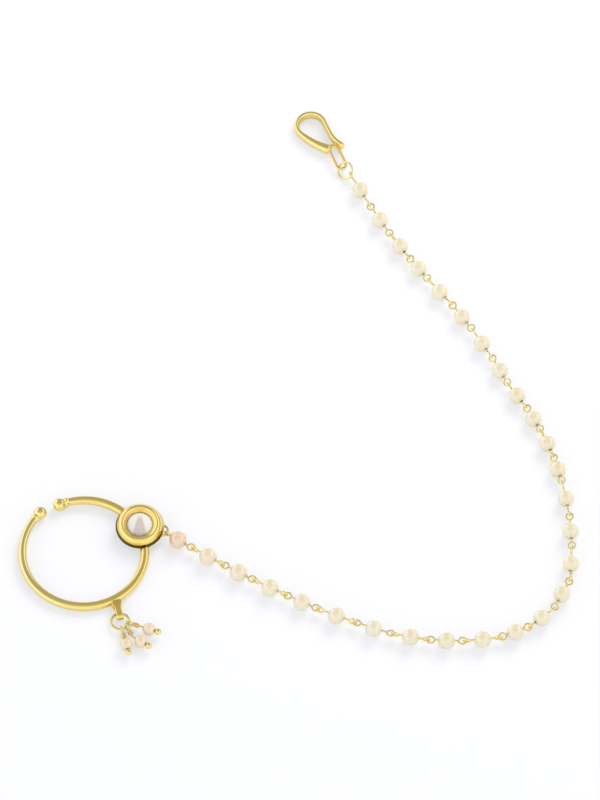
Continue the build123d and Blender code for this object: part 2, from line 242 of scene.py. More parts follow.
# %% Measure and mark
def points_of(piece):
    """A piece's vertices, in millimetres from the middle of the hoop."""
    flat = np.empty(len(piece.data.vertices) * 3)
    piece.data.vertices.foreach_get("co", flat)
    return flat.reshape(-1, 3) / MM - HOOP_MIDDLE


def report(piece, node):
    """Print how many triangles a piece has, and the largest gap between its box and the box of
    the solid that it stands for."""
    triangles = len(piece.data.loops) - 2 * len(piece.data.polygons)
    points = (points_of(piece) + HOOP_MIDDLE) * MM
    gap = np.abs(np.array([points.min(0), points.max(0)]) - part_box(node)).max() / MM
    print(f"{piece.name}: {triangles} triangles, box within {gap:.2f} mm")


def mark(piece, name, amount):
    """Store a number from 0 to 1 at each vertex, such as how much wear the plate has."""
    layer = piece.data.attributes.new(name, "FLOAT", "POINT")
    values = np.broadcast_to(np.asarray(amount, float), len(piece.data.vertices))
    layer.data.foreach_set("value", np.clip(values, 0, 1))


# %% [markdown]
# ## Gold plate
# The metal is brass with a bright yellow gold plate, polished in a tumbler. A polished metal
# has almost no colour of its own: it shows the room, tinted. So its colour stays plain, and the
# life is in small things. The polish is a little uneven, the casting leaves slow waves, and
# fine scuffs from the tumbler break the reflections. Three marks say where it differs. Worn is
# where the plate is thin and redder, and in the setting's dish it is a painted shade. Pale is
# where it is greener, as on the chain's drawn wire, and towards the hoop's left it is a painted
# highlight. The third is a painted shade of dark brown under the setting's rim and in the gap
# round the stone. A thin clear lacquer lies over it all but that painted shade.

# %% Node helpers
def plug(node, inputs):
    """Give a node its inputs: another node's result is linked, and a plain number or colour is
    written on the node's own socket."""
    for key, value in inputs.items():
        if isinstance(value, bpy.types.NodeSocket):
            node.id_data.links.new(value, node.inputs[key])
        else:
            node.inputs[key].default_value = value


def node_adder(tree):
    """A helper that adds a node of a kind to this tree, with its inputs and its own settings."""
    def add(kind, inputs=None, **settings):
        node = tree.nodes.new(kind)
        for key, value in settings.items():
            setattr(node, key, value)
        plug(node, inputs or {})
        return node

    return add


def new_material(name):
    """A material with its principled shader, a helper that adds nodes, the place on the piece
    and a helper that reads one of the piece's marks."""
    material = bpy.data.materials.new(name)
    material.use_nodes = True
    add = node_adder(material.node_tree)
    where = add("ShaderNodeTexCoord").outputs["Object"]

    def marked(mark_name):
        return add("ShaderNodeAttribute", attribute_name=mark_name).outputs["Fac"]

    return material, material.node_tree.nodes["Principled BSDF"], add, where, marked


# %% Numbers and colours from nodes
def noise(add, where, scale, detail=3.0, roughness=0.5):
    """Noise of about `scale` bumps to the metre, as a number round 0.5."""
    inputs = {"Vector": where, "Scale": scale, "Detail": detail, "Roughness": roughness}
    return add("ShaderNodeTexNoise", inputs).outputs["Fac"]


def worked(add, operation, *numbers):
    """Numbers combined by one operation, such as MULTIPLY_ADD: first x second + third."""
    return add("ShaderNodeMath", dict(enumerate(numbers)), operation=operation).outputs[0]


def ranged(add, value, low, high, to_low=0.0, to_high=1.0):
    """A number carried from one range to another, held at the ends."""
    inputs = {"Value": value, "From Min": low, "From Max": high}
    inputs |= {"To Min": to_low, "To Max": to_high}
    return add("ShaderNodeMapRange", inputs).outputs["Result"]


def blended(add, factor, first, second):
    """A colour between two, by a factor."""
    colours = [(*end, 1.0) if isinstance(end, tuple) else end for end in (first, second)]
    inputs = {"Factor": factor, 6: colours[0], 7: colours[1]}
    return add("ShaderNodeMix", inputs, data_type="RGBA").outputs[2]


def bumped(add, strength, depth, height, **below):
    """The surface's direction, tilted by a height map that is `depth` metres deep."""
    inputs = {"Strength": strength, "Distance": depth, "Height": height}
    return add("ShaderNodeBump", inputs | below).outputs[0]


# %% Gold
GOLD = (0.96, 0.715, 0.14)
PALE_GOLD = (0.93, 0.775, 0.26)
# Redder gold for wear, and for the painted shade in the setting's dish.
WEAR_AND_SHADE_GOLD = (0.80, 0.46, 0.07)
# Dark brown painted shade, under the setting's rim and in the gap round the stone.
PAINTED_SHADE_BROWN = (0.13, 0.085, 0.008)


def gold_material():
    """Metal whose colour runs from gold to pale, then to a redder colour for wear and for the dish's
    painted shade, then to a painted shade of dark brown. The lacquer over it shines, and is missing
    where that painted shade is."""
    material, shader, add, where, marked = new_material("gold_plate")
    patches = ranged(add, noise(add, where, 900.0), 0.3, 0.7, 0.6, 1.0)
    # The first mark is wear, and in the setting's dish a painted shade; the second is a painted
    # shade of dark brown.
    worn, painted_dark = worked(add, "MULTIPLY", marked("worn"), patches), marked("tarnish")
    plated = blended(add, worn, blended(add, marked("pale"), GOLD, PALE_GOLD), WEAR_AND_SHADE_GOLD)
    polish = ranged(add, noise(add, where, 2600.0), 0.3, 0.7, 0.10, 0.18)
    waves = bumped(add, 0.10, 0.00004, noise(add, where, 700.0, detail=1.0))
    scuffs = bumped(add, 0.05, 0.000004, noise(add, where, 6000.0, detail=4.0), Normal=waves)
    plug(shader, {
        "Base Color": blended(add, painted_dark, plated, PAINTED_SHADE_BROWN),
        "Metallic": 1.0,
        "Roughness": worked(add, "MULTIPLY_ADD", worn, 0.12, polish),
        "Coat Weight": ranged(add, painted_dark, 0.0, 0.6, 1.0, 0.0),
        "Coat Roughness": 0.08,
        "Coat IOR": 1.85,
        "Normal": scuffs,
    })
    return material


gold = gold_material()
print("gold plate is made of", len(gold.node_tree.nodes), "nodes")


# %% [markdown]
# ## The hoop
# The hoop is one round wire, bent a little wider at one end, with a ball on each end and a
# small raised collar beside each ball. It could be a torus with two spheres pushed on, but then
# every join would show as a crease. Here it is one surface along one path: the wire's radius is
# a function of the distance from the ball. It follows the ball's circle, then the taper of the
# wire with the collar as a soft swelling on it. The ends were melted, so they are a little
# lumpy too.

# %% Hoop sizes
HOOP_RADIUS = 13.85
WIRE_RADIUS, WIRE_END_RADIUS = 1.03, 0.88
BALL_RADIUS, BALL_ONLY = 1.55, 0.9
COLLAR_RISE, COLLAR_BACK, COLLAR_WIDTH = 0.30, 1.62, 0.42
CAST_LENGTH, LUMP_SHARE = 3.2, 0.03
CLOSE_TO, CLOSE_STEP, WIDE_STEP = 2.4, 0.04, 0.3
SPREAD_END, SPREAD_FROM, SPREAD_RADIUS = 138.0, 190.0, 15.2
TAPER_FROM, FREE_END = 434.0, 474.0
GAP_ANGLE = 123.5


def arc(middle, radius, start, end, step=0.25):
    """Points along an arc, from one angle to another, about `step` millimetres apart."""
    count = max(int(abs(math.radians(end - start)) * radius / step), 2)
    return np.asarray(middle, float) + polar(radius, np.linspace(start, end, count + 1))


def wire_radius(from_ball, taper_length):
    """The hoop's radius at a distance from a ball's middle: the larger of the ball's circle,
    root(ball^2 - distance^2), and the tapering wire with a bell-shaped collar on it."""
    thinning = np.clip(1 - from_ball / taper_length, 0, 1)
    wire = WIRE_RADIUS + (WIRE_END_RADIUS - WIRE_RADIUS) * thinning
    ball = np.sqrt(np.clip(BALL_RADIUS ** 2 - from_ball ** 2, 0, None))
    collar = wire + COLLAR_RISE * np.exp(-((from_ball - COLLAR_BACK) / COLLAR_WIDTH) ** 2)
    return np.where(from_ball < BALL_ONLY, ball, np.maximum(ball, collar))


# %% Bend the hoop
def hoop_path():
    """The wire's middle: the spread end, the round of the hoop and the tapering free end."""
    spread_middle = polar(HOOP_RADIUS - SPREAD_RADIUS, SPREAD_FROM)
    spread = arc(spread_middle, SPREAD_RADIUS, SPREAD_END, SPREAD_FROM)
    middle = arc((0, 0, 0), HOOP_RADIUS, SPREAD_FROM, TAPER_FROM)
    free = arc((0, 0, 0), HOOP_RADIUS, TAPER_FROM, FREE_END)
    return np.vstack([spread, middle[1:], free[1:]])


def hoop_surface():
    """One wire from ball to ball, in its own plane, then tipped on to the table. Its rings are
    close together near the balls. The lumps are a product of three waves, one for each axis."""
    path = hoop_path()
    length = distances(path)[-1]
    fine = np.concatenate([-BALL_RADIUS * np.cos(np.linspace(0.06, math.pi / 2, 14)),
                           np.arange(2 * CLOSE_STEP, CLOSE_TO, CLOSE_STEP)])
    coarse = np.arange(CLOSE_TO + 0.1, length - CLOSE_TO - 0.1, WIDE_STEP)
    at = np.concatenate([fine, coarse, (length - fine)[::-1]])
    before, after = np.clip(-at, 0, None)[:, None], np.clip(at - length, 0, None)[:, None]
    inner = points_at(path, at) + before * unit(path[0] - path[1])
    inner = inner + after * unit(path[-1] - path[-2])
    spread_length = math.radians(SPREAD_FROM - SPREAD_END) * SPREAD_RADIUS
    free_length = math.radians(FREE_END - TAPER_FROM) * HOOP_RADIUS
    radius = np.where(at < length / 2, wire_radius(at, spread_length),
                      wire_radius(length - at, free_length))
    rings = wire_rings(inner, radius, radius, sides=40)
    cast_end = np.clip(CAST_LENGTH - np.minimum(at, length - at), 0, 1)[:, None, None]
    x, y, z = np.moveaxis(rings, -1, 0)[..., None]
    lumps = np.sin(5.0 * x + 1) * np.sin(4.6 * y + 2) * np.cos(5.4 * z)
    rings = rings + LUMP_SHARE * cast_end * (lumps - 1) * (rings - inner[:, None])
    tip = math.degrees(math.asin((BALL_RADIUS - WIRE_RADIUS) / (2 * HOOP_RADIUS)))
    turns = [("z", -GAP_ANGLE), ("y", -tip), ("z", GAP_ANGLE)]
    return skin(moved(rings, turns, (0, 0, (BALL_RADIUS + WIRE_RADIUS) / 2)))


print("wire from ball to ball, mm:", round(distances(hoop_path())[-1], 1))


# %% [markdown]
# ## The setting
# The stone sits in a dished bezel: a low wall that flares downwards, a broad outer slope up to
# a crest, and an inner slope down to a thin lip round the stone. The wall gets a painted shade
# of dark brown, darkest at the front left. The bezel was spun or cast round, so the surface is a
# profile turned about its own axis, and that axis leans a little towards the front. A saddle
# of solder under it flares on to the hoop's wire.

# %% Setting and saddle
SETTING_PLACE = (12.65, 6.30, 3.45)
SETTING_LEAN = 8.0
RIM_RADIUS, BASE_RADIUS, RIM_WALL = 5.06, 5.50, 1.20
CREST_RADIUS, CREST_HEIGHT = 4.12, 0.95
SEAT_RADIUS, SEAT_LIP, SEAT_FLOOR = 2.93, 0.11, -0.24
SADDLE_NECK, SADDLE_FLARE, SADDLE_DROP = 1.7, 0.9, 1.15


def through(start, by, end, count=10):
    """Profile points on the circle through three points, from the first to the last."""
    a, b, c = (np.asarray(point, float) for point in (start, by, end))
    matrix = 2 * np.array([b - a, c - a])
    middle = np.linalg.solve(matrix, [b @ b - a @ a, c @ c - a @ a])
    angles = np.unwrap([math.atan2(*(point - middle)[::-1]) for point in (a, b, c)])
    turned = np.linspace(angles[0], angles[2], count)
    radius = np.linalg.norm(a - middle)
    return middle + radius * np.stack([np.cos(turned), np.sin(turned)], axis=-1)


def on_setting(points):
    """Points carried from the setting's own frame to the hoop's."""
    return moved(points, [("x", SETTING_LEAN)], SETTING_PLACE)


def setting_surface():
    """The profile as rows of radius and height above the rim, from the middle of the base, up
    the wall and over the crest to the middle of the seat. Each curve is part of a circle."""
    base = [(0.02, -RIM_WALL), (3.0, -RIM_WALL), (BASE_RADIUS - 0.10, -RIM_WALL)]
    foot = [(BASE_RADIUS - 0.06, -RIM_WALL + 0.08), (BASE_RADIUS, -RIM_WALL + 0.22)]
    wall_foot, wall_top = (BASE_RADIUS - 0.03, -RIM_WALL + 0.30), (RIM_RADIUS + 0.03, -0.10)
    wall = through(wall_foot, (5.24, -0.55), wall_top, 8)
    shoulder = [(RIM_RADIUS + 0.01, -0.03), (RIM_RADIUS - 0.02, 0.04)]
    slope = through((RIM_RADIUS - 0.06, 0.09), (4.66, 0.57), (CREST_RADIUS, CREST_HEIGHT), 16)
    crest = through((CREST_RADIUS - 0.04, CREST_HEIGHT + 0.01), (3.96, 0.98), (3.80, 0.89), 6)
    dish = through((3.77, 0.87), (3.33, 0.55), (SEAT_RADIUS + 0.04, SEAT_LIP + 0.04), 10)
    seat = [(SEAT_RADIUS, SEAT_LIP), (SEAT_RADIUS, SEAT_FLOOR), (0.02, SEAT_FLOOR)]
    profile = np.vstack([base, foot, wall, shoulder, slope, crest, dish, seat])
    return skin(on_setting(spun(profile, sides=128)))


def saddle_surface():
    """Solder that narrows under the setting in a hollow curve: neck + flare x (1 - drop)^2.5."""
    drop = np.linspace(0, 1, 12)
    radius = SADDLE_NECK + SADDLE_FLARE * (1 - drop) ** 2.5
    profile = np.stack([radius, -RIM_WALL + 0.05 - SADDLE_DROP * drop], axis=-1)[::-1]
    return skin(on_setting(spun(profile, sides=48)))


# %% [markdown]
# ## Bail and chain ring
# Two small rings are soldered to the hoop. The bail is a strip folded into an upright slot, and
# carries the drops. A torus, squashed, would do from afar, but the strip gets wider at its root,
# so its surface runs round the slot with a rounded oblong section whose width changes. The
# chain's ring is plain round wire, lying flat under the setting's edge on a post of solder.

# %% Bail and ring
BAIL_TIP, BAIL_HEADING, BAIL_LENGTH = np.array([8.57, -17.24, 0.0]), -77.0, 5.25
BAIL_HEIGHT, BAIL_STRAP, BAIL_MIDDLE = 2.06, 0.46, 1.04
BAIL_WIDTH, BAIL_ROOT_WIDTH, BAIL_ROOT, BAIL_SQUARENESS = 1.5, 2.4, 1.2, 2.7
FIRST_PEARL, FIRST_HEADING = (21.32, 3.11), -33.7
CHAIN_RING_RADIUS, CHAIN_RING_WIRE = 1.30, 0.27
CHAIN_RING_HEIGHT, CHAIN_RING_BACK = 2.05, 4.30
POST_RADIUS, POST_RISE, POST_SWELL = 0.55, 0.75, 2.2


def smooth_step(share):
    """From 0 to 1 with a level start and end: 3 x share^2 - 2 x share^3."""
    share = np.clip(share, 0, 1)
    return share * share * (3 - 2 * share)


def bail_surface():
    """A strip round a slot: two straight runs and two half rounds, in the upright plane. It
    widens to its root in a smooth step."""
    end_radius = (BAIL_HEIGHT - BAIL_STRAP) / 2
    tip = polar(end_radius, np.linspace(-90, 90, 20)) - [BAIL_HEIGHT / 2, 0, 0]
    root = polar(end_radius, np.linspace(90, 270, 20)) + [BAIL_HEIGHT / 2 - BAIL_LENGTH, 0, 0]
    loop = evenly(np.vstack([tip, root]), 0.12, closed=True)
    path = np.stack([loop[:, 0], 0 * loop[:, 0], loop[:, 1] + BAIL_MIDDLE], axis=-1)
    widening = smooth_step((2.1 * BAIL_ROOT - BAIL_LENGTH - path[:, 0]) / (1.1 * BAIL_ROOT))
    width = BAIL_WIDTH + (BAIL_ROOT_WIDTH - BAIL_WIDTH) * widening
    rings = wire_rings(path, BAIL_STRAP / 2, width / 2, side=(0, 1, 0), sides=28,
                       squareness=BAIL_SQUARENESS, closed=True)
    return skin(moved(rings, [("z", BAIL_HEADING)], BAIL_TIP), closed=True)


def chain_ring_surfaces():
    """A ring of round wire, and a post of solder beside it that is round at its lower end: its
    radius grows with the height as a ball's does, root(1 - narrow^2), and then stays."""
    middle = np.array([*FIRST_PEARL, CHAIN_RING_HEIGHT]) + polar(-CHAIN_RING_BACK, FIRST_HEADING)
    ring = middle + polar(CHAIN_RING_RADIUS, np.arange(0, 360, 6))
    foot = middle + polar(-CHAIN_RING_RADIUS, FIRST_HEADING)
    height = np.linspace(-CHAIN_RING_WIRE, POST_RISE, 9)
    share = (height + CHAIN_RING_WIRE) / (POST_RISE + CHAIN_RING_WIRE)
    narrow = 1 - np.clip(share * POST_SWELL, 0, 1)
    radius = POST_RADIUS * np.sqrt(np.clip(1 - narrow ** 2, 0.04, 1))
    post = spun(np.stack([radius, height], axis=-1), sides=24) + foot
    torus = wire_rings(ring, CHAIN_RING_WIRE, CHAIN_RING_WIRE, sides=18, closed=True)
    return [skin(torus, closed=True), skin(post)]


# %% Solder the hoop together
hoop_parts = [hoop_surface(), setting_surface(), saddle_surface(), bail_surface()]
hoop_parts += chain_ring_surfaces()
nose_hoop = make_piece("nose_hoop_metal", hoop_parts, gold, ["nose_hoop"])
report(nose_hoop, "nose_hoop")


# %% [markdown]
# ## Wear and painted shade on the hoop
# The dish is made darker and redder through the same mark as the wear, a painted shade in the
# hollow that is strongest at the back left. The heat of soldering leaves the bail redder at its
# root and tip. The gap round the stone, only at its back, and the wall under the rim, most at
# the front left, get a painted shade of dark brown. A painted texture could show this, but a
# number at each point, worked out from where the point is, stays smooth from close by too.

# %% Mark the wear and the painted shade
DISH_EDGE, WALL_INNER, WALL_OUTER = 3.9, 4.9, 5.6
BAIL_WORN, BAIL_WORN_REACH = 0.7, 1.3


def near(points, places, reach):
    """From 1 at any of the places to 0 at `reach` from it, in a smooth step."""
    gaps = np.linalg.norm(points[:, None] - np.asarray(places, float)[None], axis=-1).min(1)
    return smooth_step(1 - gaps / reach)


hoop_points = points_of(nose_hoop)
in_setting = (hoop_points - SETTING_PLACE) @ turn_matrix("x", SETTING_LEAN)
from_axis, above_rim = np.hypot(in_setting[:, 0], in_setting[:, 1]), in_setting[:, 2]
# Which side of the setting a point is on, from -1 to 1.
rightwards, backwards = (in_setting[:, :2] / np.maximum(from_axis, 1)[:, None]).T
in_dish = (from_axis < DISH_EDGE) & (above_rim > -0.4)
# Painted shade in the dish: darker and redder, strongest at the back left.
dish_painted_shade = in_dish * np.clip((DISH_EDGE + 0.05 - from_axis) / 0.5, 0, 1)
dish_painted_shade = dish_painted_shade * np.clip(0.7 + 0.35 * backwards - 0.5 * rightwards, 0, 1)
solder_joints = BAIL_TIP + polar(-4.4, BAIL_HEADING) + [[0, 0, 0.4], [0, 0, 1.9]]
bail_worn = near(hoop_points, [*solder_joints, BAIL_TIP + [0, 0, 0.8]], BAIL_WORN_REACH)
mark(nose_hoop, "worn", np.maximum(dish_painted_shade, BAIL_WORN * bail_worn))
# Painted shade: in the gap round the stone only at its back, and on the wall under the rim, most at
# the front left.
in_hollow = (from_axis < SEAT_RADIUS + 0.02) & (above_rim < SEAT_LIP - 0.02) & in_dish
wall_painted_shade = (from_axis > WALL_INNER) * (from_axis < WALL_OUTER) * np.clip(-above_rim / 0.3, 0, 1)
wall_painted_shade = wall_painted_shade * np.clip(0.9 - 1.74 * backwards - rightwards, 0.3, 1)
mark(nose_hoop, "tarnish", np.maximum(in_hollow * np.clip(backwards, 0, 0.8), wall_painted_shade))
# Paler towards the hoop's left: a painted highlight.
mark(nose_hoop, "pale", np.clip(0.3 - hoop_points[:, 0] / 30, 0, 0.7))
wear_and_shade_points = [int(np.count_nonzero(worn)) for worn in (dish_painted_shade, bail_worn)]
print("worn points in the dish and on the bail:", wear_and_shade_points)


# %% [markdown]
# ## The stone
# A kundan stone is clear glass with bright foil pressed under it. Light goes in through the
# crown, bounces off the foil and comes out again, so the stone looks white and not transparent.
# Clear glass over a mirror would show only a few odd spots of the room at this size. So the base
# is a mirror in its own material, but most of the glass is given the foil's milky white outright.
# A mark of painted reflection makes it white at both sides and at the back, and greyer across
# the middle. The crown is a low dome whose edge is cut in sixteen small facets. Dome and facets
# are each a height over the same grid, and the stone is the lower of the two, as the cutter
# leaves it.

# %% Stone shape
STONE_RADIUS, STONE_GAP = 2.84, 0.05
GIRDLE_HEIGHT, CROWN_HEIGHT, DOME_RADIUS = 0.25, 0.85, 5.8
FACET_STEP, FACET_RISES = 22.5, (1.0, 1.3)
FOIL_HEIGHT, FOIL_DISH = 0.10, 0.10


def stone_rings():
    """Rings from the middle of the base to the top. The base rises outwards by
    dish x (out / radius)^2, so its foil is a hollow mirror. The crown is the lower of
    dome = top - out^2 / (2 x dome radius) and facet = (half width - distance along it) x rise."""
    turned = np.linspace(0, 360, 160, endpoint=False)
    number = np.round(turned / FACET_STEP)
    rise = np.where(number % 2 == 0, *FACET_RISES)
    out = np.concatenate([np.linspace(STONE_RADIUS, 2.2, 14), np.linspace(2.1, 0.03, 14)])[:, None]
    half_width = STONE_RADIUS * math.cos(math.radians(FACET_STEP / 2))
    facets = (half_width - out * np.cos(np.radians(turned - number * FACET_STEP))) * rise
    dome = CROWN_HEIGHT - out ** 2 / (2 * DOME_RADIUS)
    crown = np.clip(np.minimum(dome, facets), 0, None) + GIRDLE_HEIGHT
    foil = np.linspace(0.03, STONE_RADIUS, 16)[:, None]
    base = FOIL_HEIGHT + FOIL_DISH * (foil / STONE_RADIUS) ** 2 + 0 * turned
    rings = np.vstack([foil, out])[..., None] * polar(1.0, turned)
    rings[..., 2] = np.vstack([base, crown]) + SEAT_FLOOR + STONE_GAP
    return rings


# %% Glass and foil
GLASS_CLEAR = 0.12
# Grey across the middle, and white where the reflection is painted.
FOIL_GREY, FOIL_AND_REFLECTION_WHITE = (0.69, 0.60, 0.50), (1.0, 0.975, 0.87)


def glass_material():
    """Glass with little left clear. The rest is milky, from grey to white by the mark of painted
    reflection, stirred a little by noise."""
    material, shader, add, where, marked = new_material("clear_stone")
    stirred = worked(add, "MULTIPLY_ADD", noise(add, where, 1600.0), 0.5, marked("pressed"))
    plug(shader, {
        "Base Color": blended(add, ranged(add, stirred, 0.1, 1.1), FOIL_GREY, FOIL_AND_REFLECTION_WHITE),
        "Transmission Weight": GLASS_CLEAR,
        "IOR": 1.52,
        "Roughness": ranged(add, noise(add, where, 4000.0), 0.45, 0.75, 0.02, 0.08),
    })
    return material


def foil_material():
    """Bright metal with soft creases."""
    material, shader, add, where, _ = new_material("stone_foil")
    clouds = noise(add, where, 800.0)
    plug(shader, {
        "Base Color": blended(add, clouds, (0.98, 0.94, 0.88), (0.95, 0.90, 0.84)),
        "Metallic": 1.0,
        "Roughness": 0.12,
        "Normal": bumped(add, 0.3, 0.00004, noise(add, where, 1500.0, detail=2.0)),
    })
    return material


# %% Make the stone
GREY_BAND_HALF_WIDTH, GREY_BAND_NARROWING = 0.9, 0.28
REFLECTION_BLEND, REFLECTION_AT_BAND_EDGE = 0.6, 0.4
BACK_FROM, BACK_REFLECTION = 1.0, 0.7
FACET_SHARP, FACES_DOWN = 12, -0.8

stone = make_piece("stone", [skin(on_setting(stone_rings()))], glass_material(),
                   ["kundan_stone"], sharp=FACET_SHARP)
stone.data.materials.append(foil_material())
turn_back = turn_matrix("x", SETTING_LEAN)
across, back, _ = ((points_of(stone) - SETTING_PLACE) @ turn_back).T
# Painted reflection: white at both sides and at the back, grey across a middle band that narrows
# towards the back.
past_grey_band = np.abs(across) - GREY_BAND_HALF_WIDTH + GREY_BAND_NARROWING * back
side_reflection = past_grey_band / REFLECTION_BLEND + REFLECTION_AT_BAND_EDGE
mark(stone, "pressed", np.maximum(side_reflection, BACK_REFLECTION * (back - BACK_FROM)))
normals = np.empty(len(stone.data.polygons) * 3)
stone.data.polygons.foreach_get("normal", normals)
faces_down = normals.reshape(-1, 3) @ turn_back[:, 2] < FACES_DOWN
stone.data.polygons.foreach_set("material_index", faces_down.astype(int))
report(stone, "kundan_stone")


# %% [markdown]
# ## Jump rings
# A jump ring is a round of wire cut from a coil, so it is never quite closed: its two cut ends
# meet at a hairline slit. A torus would hide that. Each ring is a wire whose path stops just
# short of a full turn, with flat ends.

# %% Jump rings
DROP_RING_RADIUS, DROP_RING_WIRE = 2.05, 0.29
DROP_RING_PLACE = np.array([8.43, -17.67, 1.02])
HOOK_RING_RADIUS, HOOK_RING_WIRE = 1.98, 0.24
HOOK_RING_PLACE = (59.43, 103.01, 1.66)
HOOK_RING_HEADING, HOOK_RING_LEAN = -56.0, 44.4
DROP_SLIT_ANGLE, HOOK_SLIT_ANGLE, SLIT = 60, 25, 0.06
CUT_SHARE, RING_PALE = 0.86, 0.8


def cut_ring(radius, wire, slit_angle):
    """A flat round of wire that stops half a slit short of the slit's angle on each side, where
    its cut edge is a little rounded off."""
    half = math.degrees(SLIT / 2 / radius)
    path = polar(radius, np.linspace(slit_angle + half, slit_angle + 360 - half, 97))
    radii = np.full(len(path), wire)
    radii[[0, -1]] *= CUT_SHARE
    return wire_rings(path, radii, radii, sides=20)


def make_gold(name, node, surfaces, pale, worn=0.0, reach=1.0, places=()):
    """A piece of gold plate, marked with how pale it is and how much wear it has near some places.
    """
    piece = make_piece(name, surfaces, gold, [node])
    if worn:
        mark(piece, "worn", worn * near(points_of(piece), places, reach))
    mark(piece, "pale", pale)
    report(piece, node)


drop_ring = moved(cut_ring(DROP_RING_RADIUS, DROP_RING_WIRE, DROP_SLIT_ANGLE), (), DROP_RING_PLACE)
hook_ring = moved(cut_ring(HOOK_RING_RADIUS, HOOK_RING_WIRE, HOOK_SLIT_ANGLE),
                  [("x", HOOK_RING_LEAN), ("z", HOOK_RING_HEADING)], HOOK_RING_PLACE)
for name, rings in (("drop", drop_ring), ("hook", hook_ring)):
    make_gold(f"{name}_ring_wire", f"{name}_jump_ring", [skin(rings)], RING_PALE)


# %% [markdown]
# ## Drops
# Each drop is one length of wire. It has a ball melted on its lower end, goes up through the
# pearl, is bent into an eye round the jump ring and is then wound three times round its own
# neck. A torus and three rings would do from afar, but the winding is what shows at this size.
# So the whole pin is one path: head, bend, eye and helix.

# %% Drop pins
DROP_LOOP_RADIUS, DROP_WIRE = 0.80, 0.20
DROP_LOOP_OUT, DROP_LOOP_LIFT = 0.15, 0.05
DROP_PEARL_RADIUS, DROP_HEAD_RADIUS, DROP_HEAD_REACH = 1.50, 0.76, 2.20
BEND_AFTER, DROP_STEP = 3.0, 0.06
DROP_WORN, DROP_WORN_REACH, DROP_PALE = 0.75, 1.6, 0.9
WRAPS, WRAP_RADIUS, WRAP_PITCH, WRAP_FROM, NECK_FROM = 3, 0.38, 0.42, 0.24, 0.36
# Each drop's place on the ring, heading, reach to the pearl and turn at the bend.
DROPS = [(-80, -76, 4.25, 0), (-45, -62, 5.15, 27), (-12, -22, 4.75, 0)]


def drop_route(ring_angle, heading, reach, bend_turn):
    """The middles of a drop's eye, bend, pearl and head."""
    eye = DROP_RING_PLACE + polar(DROP_RING_RADIUS, ring_angle) + polar(DROP_LOOP_OUT, heading)
    eye[2] = DROP_LOOP_RADIUS + DROP_WIRE + DROP_LOOP_LIFT
    climb = np.array([0, 0, (DROP_PEARL_RADIUS - eye[2]) / reach])
    bend = eye + polar(BEND_AFTER, heading) + climb * BEND_AFTER
    rest = reach - BEND_AFTER
    pearl = bend + polar(rest, heading + bend_turn) + climb * rest
    head = pearl + unit(pearl - bend) * DROP_HEAD_REACH
    return eye, bend, pearl, head


def drop_pin_surfaces(eye, bend, head):
    """One wire along head, bend and neck, then 296 degrees of eye, then a helix of three turns
    about the neck: radius times (cos, sin) of the turn, while it moves one pitch a turn."""
    along = unit(bend - eye)
    side = unit(np.cross([0, 0, 1.0], along))
    up = np.cross(along, side)
    neck = eye + along * (DROP_LOOP_RADIUS + NECK_FROM)
    turned = np.radians(np.linspace(-32, -328, 60))[:, None]
    loop = eye + DROP_LOOP_RADIUS * (np.cos(turned) * along + np.sin(turned) * up)
    wound = np.radians(np.linspace(0, 360 * WRAPS, 30 * WRAPS))[:, None]
    start = eye + along * (DROP_LOOP_RADIUS + WRAP_FROM)
    coil = start + along * WRAP_PITCH * wound / (2 * math.pi)
    coil = coil + WRAP_RADIUS * (np.cos(wound) * up + np.sin(wound) * side)
    stem = evenly(np.vstack([head, bend, neck]), DROP_STEP)
    path = evenly(np.vstack([stem, loop, coil]), DROP_STEP)
    path, radii = rounded_ends(eased(path, 3), DROP_WIRE)
    wire = wire_rings(path, radii, radii, side=side + 0.31 * up, sides=14)
    lean = np.radians(np.linspace(4, 176, 24))
    profile = DROP_HEAD_RADIUS * np.stack([np.sin(lean), -np.cos(lean)], axis=-1)
    ball = spun(profile, sides=32) + head
    return [skin(wire), skin(ball)]


# %% Make the drop pins
for number, drop in enumerate(DROPS, start=1):
    eye, bend, _, head = drop_route(*drop)
    neck = eye + unit(bend - eye) * DROP_WORN_REACH
    make_gold(f"drop_wire_{number}", f"drop_pin_{number}", drop_pin_surfaces(eye, bend, head),
              DROP_PALE, DROP_WORN, DROP_WORN_REACH, [neck])


# %% [markdown]
# ## The chain's eye pins
# The chain is twenty-eight pins, each bent into an eye at both ends, with its pearl between
# them. Every second pin is rolled a quarter turn, because two eyes that hook together cross.
# Copies of one pin along a curve would drift apart, because the lengths differ a little. So the
# pins follow one another like steps: each has a length, and a turn to the left from the one
# before. Adding the turns up gives every heading, and adding the steps gives every joint.

# %% Lay the chain
PEARL_RADIUS, BIG_PEARL_RADIUS, BIG_PEARLS, DRILL_RADIUS = 1.95, 2.03, 4, 0.35
PIN_WIRE, PIN_LOOP_RADIUS, LAST_LOOP_RADIUS, STEM_BACK = 0.225, 0.82, 0.95, 0.40
SHORTEST_REACH, JOINT_SLACK = 3.12, 0.51
FIRST_REACH, FIRST_LOOP_RADIUS, LAST_REACH = 2.95, 0.65, 4.38
CHAIN_WORN, CHAIN_WORN_REACH, CHAIN_PALE = 0.15, 1.1, 1.0
STRETCHES = np.array([    # pins alike, length between joints, turn before each, roll of the eyes
    (5, 8.10, 1.8, 0), (2, 9.03, 3.5, -12), (3, 8.15, 8.7, 8), (2, 7.14, 16.8, 20),
    (2, 8.46, 23.0, 10), (2, 8.70, 6.7, -10), (4, 7.25, 6.0, -25), (1, 8.27, -7.0, -30),
    (3, 8.47, 3.9, -18), (2, 7.52, -2.2, -28), (2, 9.45, -3.2, -10),
])

